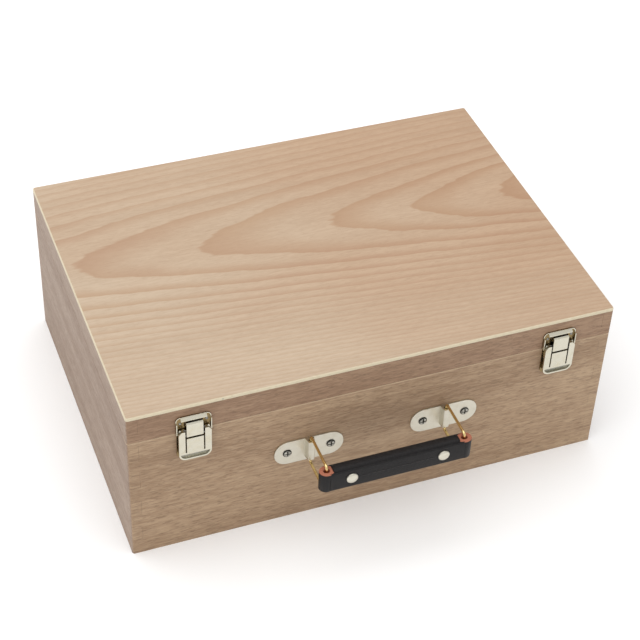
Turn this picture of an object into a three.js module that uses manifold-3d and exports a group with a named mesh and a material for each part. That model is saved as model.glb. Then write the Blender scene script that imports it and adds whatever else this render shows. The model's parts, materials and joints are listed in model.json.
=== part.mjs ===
// A wooden painter's box with a hinged lid that stands open as a small table easel.
// Millimetres, +Z up. The origin is on the resting surface at the middle of the box, and the latches and
// the handle face -Y.
import * as THREE from "three";
import { mergeVertices } from "three/addons/utils/BufferGeometryUtils.js";
import Module from "manifold-3d";

const wasm = await Module();
wasm.setup();

// ---------------------------------------------------------------- driving dimensions
// The case
const boxWidth = 410;
const boxDepth = 301;
const wallHeight = 148.5; // floor of the case to the top of the lid's walls
const lidHeight = 24; // part of the wall height that was sawn off as the lid
const sawGap = 0.4;
const seamEase = 0.7; // chamfer round the outer top edge of the base
const frontThickness = 12; // front and back boards
const sideThickness = 9;
const fingerCount = 10; // fingers of one corner joint, over the wall height
const edgeRadius = 2; // eased upright corners
const glueLine = 0.1;
const lidPanelThickness = 3.3;
const lidPanelEase = 1.6; // rounding of the lid panel's upper edge
const bottomThickness = 4;

// The inside of the case
const dividerThickness = 5;
const dividerDrop = 16.5; // underside of the palette ledges down to the dividers
const longDividerY = -52;
const shortDividerX = 68;
const ledgeSize = 8;
const ledgeDrop = 20; // seam down to the top of the palette ledges
const paletteThickness = 3.6;
const paletteCorner = 26;
const paletteTravel = 80;
const paletteEndGap = 6.8; // left free beyond the palette's travel
const paletteSlack = 1.2;
const thumbHoleLong = 34;
const thumbHoleShort = 26;
const thumbHoleInset = { x: 46, y: 52 }; // from the palette's right and front edges

// Butt hinges on the back
const hingeInset = 65; // side of the box to the middle of a hinge
const hingeLeafLength = 40;
const hingeLeafHeight = 17;
const hingeLeafThickness = 1.2;
const knuckleRadius = 2.4;
const hingePinRadius = 1.2;
const hingeKnuckles = 3;

// Lid stays
const stayFloorGap = 4.5;
const stayPivotRise = 12; // rivet above the seam, stud as far below it
const stayWidth = 11;
const stayThickness = 2;
const lidOpening = 110; // degrees
const studRadius = 2;
const staySpacer = 2.5;
const stayFlangeRadius = 5;
const rivetHeadRadius = 4;
const rivetHeadDepth = 1.6;
const studEnd = 0.8; // stud standing past the thumb nut
const thumbNutReach = 9.5;
const thumbNutDepth = 5.4;
const thumbNutHub = 4.8;
const thumbNutWing = { width: 3, thickness: 2.6 };

// Canvas holder in the lid
const railWidth = 44;
const railThickness = 8;
const railSlotEnd = 12; // wood left beyond each end of the slot
const clampShaftRadius = 2;
const slideNutSize = 10;
const slideNutThickness = 3;
const shelfWidth = 170;
const shelfEndGap = 14.5; // back of the shelf's foot to the back board
const topClampWidth = 64;
const topClampEndGap = 8.5;
const holderBar = 8; // thickness of the shelf and clamp bars
const holderDepth = 21; // how far the bars stand off the rail
const holderFoot = 24;
const holderFootThickness = 7;
const holderLip = { reach: 4, thickness: 3 };
const knobRadius = 8;
const knobHeight = 7;

// Draw latches. Their heights are measured up from the seam, and `out` is the distance from the front.
const latchInset = { left: 52.5, right: 48 };
const latchPlateWidth = 28.4;
const latchPlateThickness = 0.9;
const catchHeight = 16;
const catchCorner = 4;
const catchWindow = { side: 6.7, above: 2 }; // side: from the plate's edge
const catchFlap = { side: 7.7, rise: 11, drop: 5, reach: 1.8 };
const catchFlange = { thickness: 0.75, reach: 2.2, above: 5 };
const catchHood = { side: 3.8, reach: 2.2, drop: 2, thickness: 0.8 };
const latchBaseHeight = 26;
const latchBaseCorner = 5;
const leverSideGap = 1.1; // from the plate's edge to the lever's
const baseEar = { inset: 2.1, thickness: 1, radius: 1.15 }; // inset: from the lever's edge
const leverGap = 3.9; // wall to the back of the lever
const leverThickness = 1.6;
const leverTopRise = 4.75;
const leverBottomDrop = 25.3;
const leverPanelDrop = 3; // seam down to the top of the central panel
const leverArm = 5.2; // width of the lever's side arms
const leverCorner = 6;
const leverSlit = { width: 1.1, foot: 7.5 };
const leverFoot = { rim: 1.4, slope: 4.4, depth: 1.3 }; // hollow band above the rim at the foot
const leverEar = { inset: 3.9, thickness: 1, radius: 1.15 };
const latchPinRadius = 0.6;
const linkSideGap = 1.2;
const linkThickness = 1.2;
const linkRise = 12.5;
const linkEye = 1.2;

// Carrying handle. The rises are measured up from the middle of the pads.
const handleX = 1.3;
const handleDrop = 49.4; // seam down to the middle of the pads
const ringRise = 2.2;
const gripRise = 3.3;
const rivetRise = 3.9;
const handleSpacing = 117; // between the two ring hinges
const padLength = 58.5;
const padHeight = 24;
const padThickness = 1.2;
const bridgeWidth = { foot: 7.6, crown: 4.2 };
const bridgeReach = 7.4;
const bridgeHeight = 19.6;
const ringWire = 1.25;
const ringPivotOut = 4.3;
const ringReach = 36; // inner bar to outer bar
const ringHeight = 27.8; // between the upper and lower arms
const ringBend = 3;
const gripPastRing = 7; // grip's end beyond the ring's outer bar
const gripHeight = 18.4;
const gripThickness = 11.4;
const rivetFromRing = 19.5;
const rivetRadius = 4.9;
const rivetShank = 1.5;
const padScrewX = 18.5;
const padScrewHead = 3.8;
const screwShank = 1.8;
const screwLength = 9;
const screwSlot = { half: 2.7, width: 1.1, depth: 0.9 };

// General clearances
const fit = 0.3; // between pieces that move on each other
const wire = 12; // sides of a small round
const round = 24; // sides of a larger round

// ---------------------------------------------------------------- derived places
const seam = wallHeight - lidHeight;
const baseTop = seam - sawGap / 2;
const lidBottom = seam + sawGap / 2;
const frontFace = -boxDepth / 2;
const innerX = boxWidth / 2 - sideThickness;
const innerY = boxDepth / 2 - frontThickness;
const fingerHeight = wallHeight / fingerCount;
const hingeX = boxWidth / 2 - hingeInset;
const hingeAxis = { y: boxDepth / 2 + knuckleRadius + fit, z: seam };
// Hinge line to the rivet in the lid, and to the stud in the base
const stayRadius = (seam - stayFloorGap) / 2;
const stayReach = Math.sqrt(stayRadius ** 2 - stayPivotRise ** 2);
const stayY = hingeAxis.y - stayReach;
const ledgeTop = seam - ledgeDrop;
const stayOuter = innerX - glueLine - staySpacer - fit;
const stayInner = stayOuter - stayThickness;
const thumbNutInner = stayInner - fit - thumbNutDepth;
const trayHalf = thumbNutInner - 2; // half width left clear of the stays
const paletteWidth = 2 * trayHalf - paletteTravel - paletteEndGap;
const railBottom = wallHeight - railThickness;
const shelfY = innerY - shelfEndGap - holderFoot - holderBar;
const topClampY = -(innerY - topClampEndGap - holderFoot - holderBar);
const latchX = [-boxWidth / 2 + latchInset.left, boxWidth / 2 - latchInset.right];
const leverWidth = latchPlateWidth - 2 * leverSideGap;
const linkWidth = leverWidth - 2 * leverArm - 2 * linkSideGap;
const leverTop = seam + leverTopRise;
const leverBottom = seam - leverBottomDrop;
const leverPanelTop = seam - leverPanelDrop;
const leverPivot = { out: 2.4, z: seam + 3.6 };
const linkPivot = { out: 3.7, z: seam - 0.8 };
const linkTop = seam + linkRise;
const catchBarTop = seam + catchFlap.rise;
const handleZ = seam - handleDrop;
const gripZ = handleZ + gripRise;
const rivetZ = handleZ + rivetRise;
const gripLength = handleSpacing + 2 * gripPastRing;
const rivetX = handleSpacing / 2 - rivetFromRing;

// ---------------------------------------------------------------- solids
function solid(geometry) {
  const bare = geometry.index ? geometry.toNonIndexed() : geometry.clone();
  bare.deleteAttribute("normal");
  bare.deleteAttribute("uv");
  const merged = mergeVertices(bare, 1e-4);
  const vertProperties = merged.getAttribute("position").array;
  const triVerts = new Uint32Array(merged.index.array);
  return new wasm.Manifold(new wasm.Mesh({ numProp: 3, vertProperties, triVerts }));
}

function geometryOf(body) {
  const mesh = body.getMesh();
  const geometry = new THREE.BufferGeometry();
  const stride = mesh.numProp;
  const points = new Float32Array(mesh.numVert * 3);
  for (let i = 0; i < mesh.numVert; i += 1) {
    points.set(mesh.vertProperties.subarray(i * stride, i * stride + 3), i * 3);
  }
  geometry.setAttribute("position", new THREE.BufferAttribute(points, 3));
  geometry.setIndex(new THREE.BufferAttribute(mesh.triVerts, 1));
  geometry.computeVertexNormals();
  return geometry;
}

// Prisms: an outline in two axes, drawn out along the third.
function extrude(shape, length, segments) {
  return new THREE.ExtrudeGeometry(shape, {
    depth: length,
    bevelEnabled: false,
    curveSegments: segments,
  });
}

function prismZ(shape, low, high, segments = 6) {
  return solid(extrude(shape, high - low, segments).translate(0, 0, low));
}

// The outline's axes are (Y, Z).
function prismX(shape, low, high, segments = 6) {
  const turn = new THREE.Matrix4().makeBasis(
    new THREE.Vector3(0, 1, 0),
    new THREE.Vector3(0, 0, 1),
    new THREE.Vector3(1, 0, 0),
  );
  return solid(extrude(shape, high - low, segments).applyMatrix4(turn).translate(low, 0, 0));
}

// The outline's axes are (X, Z).
function prismY(shape, low, high, segments = 6) {
  const turn = new THREE.Matrix4().makeBasis(
    new THREE.Vector3(1, 0, 0),
    new THREE.Vector3(0, 0, 1),
    new THREE.Vector3(0, -1, 0),
  );
  return solid(extrude(shape, high - low, segments).applyMatrix4(turn).translate(0, high, 0));
}

function block(x, y, z) {
  const geometry = new THREE.BoxGeometry(x[1] - x[0], y[1] - y[0], z[1] - z[0]);
  geometry.translate((x[0] + x[1]) / 2, (y[0] + y[1]) / 2, (z[0] + z[1]) / 2);
  return solid(geometry);
}

// A solid of revolution whose profile is [radius, distance] pairs, turned onto one axis.
const turns = {
  x: new THREE.Matrix4().makeRotationZ(-Math.PI / 2),
  y: new THREE.Matrix4().makeRotationX(0),
  z: new THREE.Matrix4().makeRotationX(Math.PI / 2),
};

function turned(axis, profile, at, sides = round) {
  const points = profile.map(([radius, along]) => new THREE.Vector2(radius, along));
  const geometry = new THREE.LatheGeometry(points, sides);
  geometry.applyMatrix4(turns[axis]);
  return solid(geometry.translate(...at));
}

function cylinder(axis, radius, low, high, at, sides = wire) {
  const profile = [[0, low], [radius, low], [radius, high], [0, high]];
  return turned(axis, profile, at, sides);
}

// ---------------------------------------------------------------- outlines
function polygon(points) {
  return new THREE.Shape(points.map(([a, b]) => new THREE.Vector2(a, b)));
}

function rectangle(a0, a1, b0, b1) {
  return polygon([[a0, b0], [a1, b0], [a1, b1], [a0, b1]]);
}

// A rectangle with its own radius at the lower and the upper corners.
function softRectangle(a0, a1, b0, b1, lower, upper = lower) {
  const shape = new THREE.Shape();
  shape.moveTo(a0 + lower, b0);
  shape.lineTo(a1 - lower, b0);
  if (lower) shape.absarc(a1 - lower, b0 + lower, lower, -Math.PI / 2, 0);
  shape.lineTo(a1, b1 - upper);
  if (upper) shape.absarc(a1 - upper, b1 - upper, upper, 0, Math.PI / 2);
  shape.lineTo(a0 + upper, b1);
  if (upper) shape.absarc(a0 + upper, b1 - upper, upper, Math.PI / 2, Math.PI);
  shape.lineTo(a0, b0 + lower);
  if (lower) shape.absarc(a0 + lower, b0 + lower, lower, Math.PI, Math.PI * 1.5);
  return shape;
}

function circlePath(a, b, radius) {
  const path = new THREE.Path();
  path.absarc(a, b, radius, 0, Math.PI * 2, true);
  return path;
}

// ---------------------------------------------------------------- the group
const group = new THREE.Group();

function add(name, body, material) {
  const mesh = new THREE.Mesh(geometryOf(body), material.clone());
  mesh.name = name;
  group.add(mesh);
}

function finish(color, roughness, metalness) {
  return new THREE.MeshStandardMaterial({ color, roughness, metalness });
}

const beechWall = finish(0xa98a72, 0.6, 0);
const beechSide = finish(0xb59c88, 0.6, 0);
const veneer = finish(0xd0b496, 0.55, 0);
const plywood = finish(0xc4a888, 0.7, 0);
const innerWood = finish(0xcdb08c, 0.65, 0);
const latchMetal = finish(0xd2cbb4, 0.3, 1);
const padMetal = finish(0xd9d8cc, 0.32, 1);
const goldWire = finish(0xb9924a, 0.28, 1);
const brass = finish(0xc2a25c, 0.35, 1);
const screwSteel = finish(0x8c8c88, 0.4, 1);
const leather = finish(0x242326, 0.5, 0);

// ---------------------------------------------------------------- the case
// One long edge of a finger joint: at each end the board keeps the fingers whose number has its
// own parity and gives way to the other board by `notch` at the rest.
function fingerBoard(half, notch, low, high, parity) {
  const rows = [];
  for (let k = 0; k < fingerCount; k += 1) {
    const bottom = Math.max(low, k * fingerHeight);
    const top = Math.min(high, (k + 1) * fingerHeight);
    if (top > bottom) {
      const own = k % 2 === parity;
      const gap = own ? glueLine / 2 : -glueLine / 2;
      const from = bottom === low ? low : bottom + gap;
      const to = top === high ? high : top - gap;
      rows.push({ end: own ? half : half - notch - glueLine, from, to });
    }
  }
  const right = rows.flatMap((r) => [[r.end, r.from], [r.end, r.to]]);
  const left = right.map(([a, b]) => [-a, b]).reverse();
  return polygon([...right, ...left]);
}

// The case as a block with eased upright corners and a chamfer of `ease` round its top edge.
function caseBlock(low, high, ease) {
  const outline = softRectangle(-boxWidth / 2, boxWidth / 2, frontFace, -frontFace, edgeRadius);
  const geometry = new THREE.ExtrudeGeometry(outline, {
    depth: high - low,
    bevelEnabled: true,
    bevelThickness: ease,
    bevelSize: ease,
    bevelOffset: -ease,
    bevelSegments: 1,
    curveSegments: 3,
  });
  return solid(geometry.translate(0, 0, low - ease));
}

function wall(side, low, high) {
  const ease = high === wallHeight ? 0 : seamEase;
  const eased = caseBlock(low - 5, high + (ease ? 0 : 5), ease || seamEase);
  if (side === "front" || side === "back") {
    const outline = fingerBoard(boxWidth / 2, sideThickness, low, high, 0);
    const outer = side === "front" ? [frontFace, frontFace + frontThickness] : [innerY, -frontFace];
    return prismY(outline, ...outer).intersect(eased);
  }
  const outline = fingerBoard(boxDepth / 2, frontThickness, low, high, 1);
  const outer = side === "left" ? [-boxWidth / 2, -innerX] : [innerX, boxWidth / 2];
  return prismX(outline, ...outer).intersect(eased);
}

for (const side of ["front", "back", "left", "right"]) {
  const material = side === "left" || side === "right" ? beechSide : beechWall;
  let baseWall = wall(side, 0, baseTop);
  if (side === "front") {
    for (const [x, z] of padScrewPlaces()) {
      baseWall = baseWall.subtract(screwBore(x, z));
    }
  }
  add("base_" + side + "_wall", baseWall, material);
  add("lid_" + side + "_wall", wall(side, lidBottom, wallHeight), material);
}

const insideX = [-innerX + glueLine, innerX - glueLine];
const insideY = [-innerY + glueLine, innerY - glueLine];
add("base_bottom_panel", block(insideX, insideY, [0, bottomThickness]), plywood);

function lidPanel() {
  const low = wallHeight + glueLine;
  const high = low + lidPanelThickness;
  const outline = softRectangle(-boxWidth / 2, boxWidth / 2, frontFace, -frontFace, edgeRadius);
  const geometry = new THREE.ExtrudeGeometry(outline, {
    depth: lidPanelThickness * 2,
    bevelEnabled: true,
    bevelThickness: lidPanelEase,
    bevelSize: lidPanelEase,
    bevelOffset: -lidPanelEase,
    bevelSegments: 3,
    curveSegments: 3,
  });
  const tall = solid(geometry.translate(0, 0, high - lidPanelThickness * 2 - lidPanelEase));
  const below = block([-boxWidth, boxWidth], [-boxDepth, boxDepth], [low - 60, low]);
  return tall.subtract(below);
}

add("lid_top_panel", lidPanel(), veneer);

// ---------------------------------------------------------------- compartments and palette
const dividerZ = [bottomThickness + glueLine, ledgeTop - ledgeSize - dividerDrop];
const longDivider = [longDividerY - dividerThickness / 2, longDividerY + dividerThickness / 2];
add("long_divider", block(insideX, longDivider, dividerZ), innerWood);
for (const [name, x] of [["left", -shortDividerX], ["right", shortDividerX]]) {
  const across = [x - dividerThickness / 2, x + dividerThickness / 2];
  const along = [longDivider[1] + glueLine, insideY[1]];
  add("short_divider_" + name, block(across, along, dividerZ), innerWood);
}

const ledgeZ = [ledgeTop - ledgeSize, ledgeTop];
const ledgeX = [-trayHalf, trayHalf];
add("palette_ledge_front", block(ledgeX, [insideY[0], insideY[0] + ledgeSize], ledgeZ), innerWood);
add("palette_ledge_back", block(ledgeX, [insideY[1] - ledgeSize, insideY[1]], ledgeZ), innerWood);

function palette() {
  const left = -trayHalf;
  const y = [insideY[0] + paletteSlack, insideY[1] - paletteSlack];
  const outline = softRectangle(left, left + paletteWidth, y[0], y[1], 4, paletteCorner);
  const hole = new THREE.Path();
  hole.absellipse(
    left + paletteWidth - thumbHoleInset.x,
    y[0] + thumbHoleInset.y,
    thumbHoleLong / 2,
    thumbHoleShort / 2,
    0,
    Math.PI * 2,
    true,
    Math.PI / 5,
  );
  outline.holes.push(hole);
  const bottom = ledgeTop + fit;
  return prismZ(outline, bottom, bottom + paletteThickness, 8);
}

add("palette", palette(), veneer);

// ---------------------------------------------------------------- butt hinges
// One leaf: a flat plate on the back and the knuckles with the numbers of its own parity.
function hingeLeaf(x, direction, parity) {
  const plateBack = boxDepth / 2 + glueLine;
  const plateY = [plateBack, plateBack + hingeLeafThickness];
  const near = hingeAxis.z + direction * (sawGap / 2 + 0.2);
  const far = hingeAxis.z + direction * hingeLeafHeight;
  const length = [x - hingeLeafLength / 2, x + hingeLeafLength / 2];
  let leaf = block(length, plateY, [Math.min(near, far), Math.max(near, far)]);
  const pitch = hingeLeafLength / hingeKnuckles;
  const bore = cylinder("x", hingePinRadius + 0.2, -99, 99, [x, hingeAxis.y, hingeAxis.z]);
  for (let k = 0; k < hingeKnuckles; k += 1) {
    const low = length[0] + k * pitch;
    const span = [low + (k ? fit / 2 : 0), low + pitch - (k < hingeKnuckles - 1 ? fit / 2 : 0)];
    const barrel = cylinder("x", knuckleRadius, ...span, [0, hingeAxis.y, hingeAxis.z], 16);
    if (k % 2 === parity) {
      leaf = leaf.add(barrel);
    } else {
      const room = cylinder(
        "x",
        knuckleRadius + fit,
        span[0] - fit,
        span[1] + fit,
        [0, hingeAxis.y, hingeAxis.z],
        16,
      );
      leaf = leaf.subtract(room);
    }
  }
  return leaf.subtract(bore);
}

for (const [name, x] of [["left", -hingeX], ["right", hingeX]]) {
  add("hinge_base_leaf_" + name, hingeLeaf(x, -1, 0), brass);
  add("hinge_lid_leaf_" + name, hingeLeaf(x, 1, 1), brass);
  const pin = cylinder(
    "x",
    hingePinRadius,
    -hingeLeafLength / 2 - 1,
    hingeLeafLength / 2 + 1,
    [x, hingeAxis.y, hingeAxis.z],
  );
  add("hinge_pin_" + name, pin, brass);
}

// ---------------------------------------------------------------- lid stays
function slottedBar(side) {
  const top = seam + stayPivotRise;
  const closed = 2 * stayPivotRise;
  const half = ((lidOpening / 2) * Math.PI) / 180 + Math.asin(stayPivotRise / stayRadius);
  const open = 2 * stayRadius * Math.sin(half);
  const end = stayWidth / 2;
  const bore = studRadius + fit;
  const shape = new THREE.Shape();
  shape.absarc(stayY, top, end, 0, Math.PI);
  shape.absarc(stayY, top - open - 1, end, Math.PI, Math.PI * 2);
  shape.holes.push(circlePath(stayY, top, bore));
  const slot = new THREE.Path();
  slot.absarc(stayY, top - closed + 1, bore, 0, Math.PI);
  slot.absarc(stayY, top - open - 1, bore, Math.PI, Math.PI * 2);
  shape.holes.push(slot);
  const span = side > 0 ? [stayInner, stayOuter] : [-stayOuter, -stayInner];
  return prismX(shape, ...span, 8);
}

function thumbNut(side) {
  const z = seam - stayPivotRise;
  const low = thumbNutInner;
  const high = stayInner - fit;
  const hub = side > 0 ? [low, high] : [-high, -low];
  const wingTop = low + thumbNutWing.thickness;
  const wingEnd = side > 0 ? [low, wingTop] : [-wingTop, -low];
  const shape = new THREE.Shape();
  shape.absellipse(stayY, z, thumbNutReach, thumbNutWing.width, 0, Math.PI * 2);
  const body = cylinder("x", thumbNutHub, ...hub, [0, stayY, z], 16);
  const wings = prismX(shape, ...wingEnd, 8);
  return body.add(wings).subtract(cylinder("x", studRadius + fit / 2, -999, 999, [0, stayY, z]));
}

const rivetLength = staySpacer + 2 * fit + stayThickness + rivetHeadDepth;
const studLength = staySpacer + 2 * fit + stayThickness + thumbNutDepth + studEnd;
for (const [name, side] of [["left", -1], ["right", 1]]) {
  const high = [0, stayY, seam + stayPivotRise];
  const low = [0, stayY, seam - stayPivotRise];
  const headTop = innerX - glueLine - rivetLength;
  const headFoot = stayInner - fit;
  const head = side > 0 ? [headTop, headFoot] : [-headFoot, -headTop];
  const stem = cylinderAlongX(side, studRadius, innerX - glueLine - rivetLength, innerX - glueLine);
  const flangeFoot = innerX - glueLine - staySpacer;
  const flange = cylinderAlongX(side, stayFlangeRadius, flangeFoot, innerX - glueLine);
  const rivet = stem.add(flange).add(cylinder("x", rivetHeadRadius, ...head, [0, 0, 0], 16));
  add("stay_rivet_" + name, rivet.translate(high), brass);
  const bolt = cylinderAlongX(side, studRadius, innerX - glueLine - studLength, innerX - glueLine);
  add("stay_stud_" + name, bolt.add(flange).translate(low), brass);
  add("lid_stay_" + name, slottedBar(side), brass);
  add("thumb_nut_" + name, thumbNut(side), brass);
}

function cylinderAlongX(side, radius, near, far) {
  const span = side > 0 ? [near, far] : [-far, -near];
  return cylinder("x", radius, ...span, [0, 0, 0], 16);
}

// ---------------------------------------------------------------- canvas holder in the lid
function slottedRail() {
  const slotY = [-innerY + railSlotEnd, innerY - railSlotEnd];
  const nutRoom = slideNutSize / 2 + fit;
  const shaftRoom = clampShaftRadius + fit;
  const pocket = wallHeight - slideNutThickness - 2 * fit;
  const rail = block([-railWidth / 2, railWidth / 2], insideY, [railBottom, wallHeight]);
  const narrow = block([-shaftRoom, shaftRoom], slotY, [railBottom - 1, wallHeight + 1]);
  const wide = block([-nutRoom, nutRoom], slotY, [pocket, wallHeight + 1]);
  return rail.subtract(narrow).subtract(wide);
}

add("canvas_rail", slottedRail(), innerWood);

// A bar across the canvas with a lip over it, and a foot behind the bar that the screw clamps.
function canvasBar(width, y, away) {
  const top = railBottom - fit;
  const low = top - holderDepth;
  const ordered = (a, b) => [Math.min(a, b), Math.max(a, b)];
  const bar = block([-width / 2, width / 2], ordered(y, y + away * holderBar), [low, top]);
  const lipY = ordered(y - away * holderLip.reach, y + away);
  const lip = block([-width / 2, width / 2], lipY, [low, low + holderLip.thickness]);
  const footY = ordered(y + away, y + away * (holderBar + holderFoot));
  const foot = block([-railWidth / 2, railWidth / 2], footY, [top - holderFootThickness, top]);
  const bore = cylinder("z", clampShaftRadius + fit / 2, low, top + 1, [0, screwY(y, away), 0], 16);
  return bar.add(lip).add(foot).subtract(bore);
}

function screwY(y, away) {
  return y + away * (holderBar + holderFoot / 2);
}

function slideNut(y) {
  const half = slideNutSize / 2;
  const z = [wallHeight - fit - slideNutThickness, wallHeight - fit];
  const bore = cylinder("z", clampShaftRadius + fit / 2, z[0] - 1, z[1] + 1, [0, y, 0], 16);
  return block([-half, half], [y - half, y + half], z).subtract(bore);
}

// A round knob with five hollows for the fingers, on a threaded shaft.
function clampKnob(y) {
  const high = railBottom - 2 * fit - holderFootThickness;
  const outline = polygon(
    Array.from({ length: 40 }, (_, i) => {
      const turn = (i / 40) * Math.PI * 2;
      const radius = knobRadius * (0.93 + 0.07 * Math.cos(turn * 5));
      return [radius * Math.cos(turn), y + radius * Math.sin(turn)];
    }),
  );
  const knob = prismZ(outline, high - knobHeight, high);
  return knob.add(cylinder("z", clampShaftRadius, high - 1, wallHeight - fit, [0, y, 0], 16));
}

const holders = [
  ["canvas_shelf", shelfWidth, shelfY, 1],
  ["canvas_clamp", topClampWidth, topClampY, -1],
];
for (const [name, width, y, away] of holders) {
  add(name, canvasBar(width, y, away), innerWood);
  add(name + "_nut", slideNut(screwY(y, away)), screwSteel);
  add(name + "_knob", clampKnob(screwY(y, away)), brass);
}

// ---------------------------------------------------------------- draw latches
function out(distance) {
  return frontFace - distance;
}

// An outline in (distance out from the front, height), drawn out along X.
function sideProfile(points, low, high) {
  return prismX(polygon(points.map(([distance, z]) => [out(distance), z])), low, high);
}

function sheet(shape, thickness) {
  return prismY(shape, out(glueLine + thickness), out(glueLine));
}

function arcPoints(centre, radius, from, to, steps) {
  return Array.from({ length: steps + 1 }, (_, i) => {
    const turn = ((from + ((to - from) * i) / steps) * Math.PI) / 180;
    return [centre.out + radius * Math.cos(turn), centre.z + radius * Math.sin(turn)];
  });
}

function pinBore(at, x, radius) {
  return cylinder("x", radius, -latchPlateWidth, latchPlateWidth, [x, out(at.out), at.z], 16);
}

// The plate on the lid: a window, a flap bent out of it for the hook, two side flanges and a hood.
function catchPlate(x) {
  const half = latchPlateWidth / 2;
  const low = lidBottom + 0.4;
  const high = low + catchHeight;
  const face = glueLine + latchPlateThickness;
  const outline = softRectangle(x - half, x + half, low, high, 0, catchCorner);
  const bend = catchBarTop - catchFlap.drop;
  const halfWindow = half - catchWindow.side;
  const windowZ = [bend + 1.9, high - catchWindow.above];
  outline.holes.push(rectangle(x - halfWindow, x + halfWindow, ...windowZ));
  const flap = sideProfile(
    [
      [glueLine, bend],
      [face, bend],
      [face + catchFlap.reach, catchBarTop - 1.9],
      [face + catchFlap.reach, catchBarTop],
      [face + catchFlap.reach / 2, catchBarTop],
      [glueLine, bend + 1.9],
    ],
    x - half + catchFlap.side,
    x + half - catchFlap.side,
  );
  const hoodFront = face + catchHood.reach;
  const hood = sideProfile(
    [
      [glueLine, high - catchHood.thickness],
      [hoodFront, high - catchHood.drop - catchHood.thickness],
      [hoodFront, high - catchHood.drop],
      [face, high],
      [glueLine, high],
    ],
    x - half + catchHood.side,
    x + half - catchHood.side,
  );
  let plate = sheet(outline, latchPlateThickness).add(flap).add(hood);
  for (const side of [-1, 1]) {
    const edge = x + side * half;
    const inner = edge - side * catchFlange.thickness;
    const flange = block(
      [Math.min(edge, inner), Math.max(edge, inner)],
      [out(face + catchFlange.reach), out(glueLine)],
      [low, high - catchFlange.above],
    );
    plate = plate.add(flange);
  }
  return plate;
}

// A pair of upright ears at equal distances either side of x.
function earPair(profile, x, ear) {
  const far = earReach(ear);
  const near = far - ear.thickness;
  return sideProfile(profile, x + near, x + far).add(sideProfile(profile, x - far, x - near));
}

function earReach(ear) {
  return leverWidth / 2 - ear.inset + ear.thickness;
}

// The plate on the base with the two ears that carry the lever's pin.
function latchBase(x) {
  const half = latchPlateWidth / 2 - 0.6;
  const high = baseTop - 0.2;
  const low = high - latchBaseHeight;
  const outline = softRectangle(x - half, x + half, low, high, latchBaseCorner, 0);
  const ear = [
    [glueLine, high - 12],
    [leverPivot.out, high - 6],
    ...arcPoints(leverPivot, baseEar.radius, 0, 180, 8),
    [leverPivot.out - baseEar.radius, baseTop + 0.6],
    [glueLine, high],
  ];
  const plate = sheet(outline, latchPlateThickness).add(earPair(ear, x, baseEar));
  return plate.subtract(pinBore(leverPivot, x, latchPinRadius + 0.1));
}

// The lever's face, drawn in by `inset` at the sides and the foot.
function leverOutline(x, inset, top) {
  const half = leverWidth / 2 - inset;
  const foot = leverBottom + inset;
  const corner = leverCorner - inset;
  const shape = new THREE.Shape();
  shape.moveTo(x - half + corner, foot);
  shape.lineTo(x + half - corner, foot);
  shape.absarc(x + half - corner, foot + corner, corner, -Math.PI / 2, 0);
  shape.lineTo(x + half, top - 3);
  shape.lineTo(x + half - 2.4, top);
  shape.lineTo(x - half + 2.4, top);
  shape.lineTo(x - half, top - 3);
  shape.lineTo(x - half, foot + corner);
  shape.absarc(x - half + corner, foot + corner, corner, Math.PI, Math.PI * 1.5);
  return shape;
}

function lever(x) {
  const front = out(leverGap + leverThickness);
  const throughY = [front - 5, out(leverGap) + 5];
  const inner = leverWidth / 2 - leverArm;
  let plate = prismY(leverOutline(x, 0, leverTop), front, out(leverGap));
  plate = plate.subtract(block([x - inner, x + inner], throughY, [leverPanelTop, leverTop + 5]));
  const slitFoot = leverBottom + leverSlit.foot;
  for (const side of [-1, 1]) {
    const edge = x + side * inner;
    const slit = edge - side * leverSlit.width;
    const span = [Math.min(edge, slit), Math.max(edge, slit)];
    plate = plate.subtract(block(span, throughY, [slitFoot, leverPanelTop + 1]));
  }
  const face = leverGap + leverThickness;
  const rimTop = leverBottom + leverFoot.rim;
  const band = [
    [face, rimTop + leverFoot.slope],
    [face + 1, rimTop + leverFoot.slope],
    [face + 1, rimTop],
    [face - leverFoot.depth, rimTop],
  ];
  const within = prismY(leverOutline(x, leverFoot.rim, leverTop), front - 2, out(leverGap) + 2);
  plate = plate.subtract(sideProfile(band, x - leverWidth, x + leverWidth).intersect(within));
  const back = leverGap + leverThickness / 2;
  const ear = [
    [back, leverPanelTop - 3],
    [back, leverTop - 0.2],
    ...arcPoints(leverPivot, leverEar.radius, 90, 200, 6),
    [linkPivot.out - 1.3, linkPivot.z - 1.4],
  ];
  plate = plate.add(earPair(ear, x, leverEar));
  const leverBore = pinBore(leverPivot, x, latchPinRadius + 0.15);
  const linkBore = pinBore(linkPivot, x, latchPinRadius + 0.1);
  return plate.subtract(leverBore).subtract(linkBore);
}

// The hooked tongue: an eye on the link pin, a flat front and a tab that reaches over the flap.
function hookLink(x) {
  const back = leverGap + 0.1;
  const front = back + linkThickness;
  const tabFoot = catchBarTop + 0.4;
  const tabEnd = glueLine + latchPlateThickness + 0.4;
  const profile = [
    [front, linkPivot.z - linkEye / 2],
    [front, linkTop - 1],
    [front - 1, linkTop],
    [tabEnd, linkTop],
    [tabEnd, tabFoot],
    [back - 0.7, tabFoot],
    [back, tabFoot - 0.7],
    [back, linkPivot.z + 1.5],
    ...arcPoints(linkPivot, linkEye, 90, 270, 8),
  ];
  const body = sideProfile(profile, x - linkWidth / 2, x + linkWidth / 2);
  return body.subtract(pinBore(linkPivot, x, latchPinRadius + 0.15));
}

function latchPin(at, x, half) {
  return cylinder("x", latchPinRadius, -half, half, [x, out(at.out), at.z]);
}

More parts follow.
